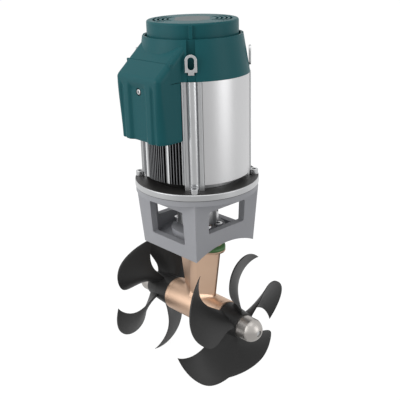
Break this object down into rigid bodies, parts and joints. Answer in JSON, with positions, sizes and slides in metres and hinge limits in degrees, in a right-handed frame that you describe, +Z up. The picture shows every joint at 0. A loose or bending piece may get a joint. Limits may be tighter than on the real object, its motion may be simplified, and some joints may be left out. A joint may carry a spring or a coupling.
{
  "type": "bow thruster",
  "caption": "Electric tunnel bow thruster: upright brushless motor on a cast saddle bracket, bronze gearleg through the tunnel wall, counter-rotating propellers.",
  "frame": {"origin": "where the drive axis crosses the propeller axis, on the axis of the tunnel, inside the gear chamber", "axes": "+Z up along the motor and drive shaft, +X along the propeller shafts and the tunnel, -Y towards the terminal cover"},
  "size_m": [0.2766, 0.2197, 0.5704],
  "materials": {
    "cast_bracket": "satin",
    "ground_steel": "brushed",
    "bolt_steel": "satin",
    "extruded_aluminium": "satin",
    "stainless_sheet": "brushed",
    "copper_winding": "satin",
    "magnet": "satin",
    "fan_nylon": "matte",
    "teal_moulding": "satin",
    "grey_badge": "satin",
    "brass": "satin",
    "board_laminate": "satin",
    "black_rubber": "matte",
    "bronze": "satin",
    "green_gasket": "matte",
    "black_composite": "satin",
    "zinc": "cast"
  },
  "bodies": {
    "housing": {"motor_bracket": "cast_bracket", "motor_flange": "ground_steel", "flange_bolts": "bolt_steel", "motor_body": "extruded_aluminium", "right_panel": "stainless_sheet", "rear_panel": "stainless_sheet", "left_panel": "stainless_sheet", "lower_motor_bearing": "ground_steel", "upper_motor_bearing": "ground_steel", "upper_end_shield": "extruded_aluminium", "stator_core": "ground_steel", "stator_windings": "copper_winding", "fan_cowl": "teal_moulding", "fan_cap": "teal_moulding", "badge_disc": "grey_badge", "lifting_lugs": "bolt_steel", "terminal_cover": "teal_moulding", "cover_screw": "bolt_steel", "cover_post": "brass", "power_board": "board_laminate", "power_terminals": "brass", "capacitors": "extruded_aluminium", "cable_grommets": "black_rubber", "gearleg_housing": "bronze", "gearleg_gasket": "green_gasket", "gearleg_bolts": "bolt_steel", "upper_leg_bearing": "ground_steel", "lower_leg_bearing": "ground_steel", "drive_seal": "black_rubber", "right_shaft_bearing": "ground_steel", "right_end_cap": "bronze", "right_shaft_seal": "black_rubber", "left_shaft_bearing": "ground_steel", "left_end_cap": "bronze", "left_shaft_seal": "black_rubber"},
    "drive_train": {"motor_shaft": "ground_steel", "rotor_core": "ground_steel", "rotor_magnets": "magnet", "fan_impeller": "fan_nylon", "coupling_upper": "extruded_aluminium", "coupling_spider": "black_rubber", "coupling_lower": "extruded_aluminium", "drive_shaft": "ground_steel", "drive_pinion": "ground_steel"},
    "right_screw": {"right_propeller": "black_composite", "right_prop_shaft": "ground_steel", "right_crown_gear": "ground_steel", "right_drive_pin": "bolt_steel", "right_prop_nut": "bolt_steel", "right_anode": "zinc", "right_anode_screw": "bolt_steel"},
    "left_screw": {"left_propeller": "black_composite", "left_prop_shaft": "ground_steel", "left_crown_gear": "ground_steel", "left_drive_pin": "bolt_steel", "left_prop_nut": "bolt_steel", "left_anode": "zinc", "left_anode_screw": "bolt_steel"}
  },
  "joints": [
    {"name": "drive", "type": "hinge", "parent": "housing", "child": "drive_train", "pos_m": [0, 0, 0], "axis": [0, 0, 1], "continuous": true},
    {"name": "right_propeller_spin", "type": "hinge", "parent": "housing", "child": "right_screw", "pos_m": [0, 0, 0], "axis": [1, 0, 0], "continuous": true},
    {"name": "left_propeller_spin", "type": "hinge", "parent": "housing", "child": "left_screw", "pos_m": [0, 0, 0], "axis": [1, 0, 0], "continuous": true}
  ],
  "couplings": [
    {"joint": "right_propeller_spin", "follows": "drive", "ratio": -0.61905},
    {"joint": "left_propeller_spin", "follows": "drive", "ratio": 0.61905}
  ]
}
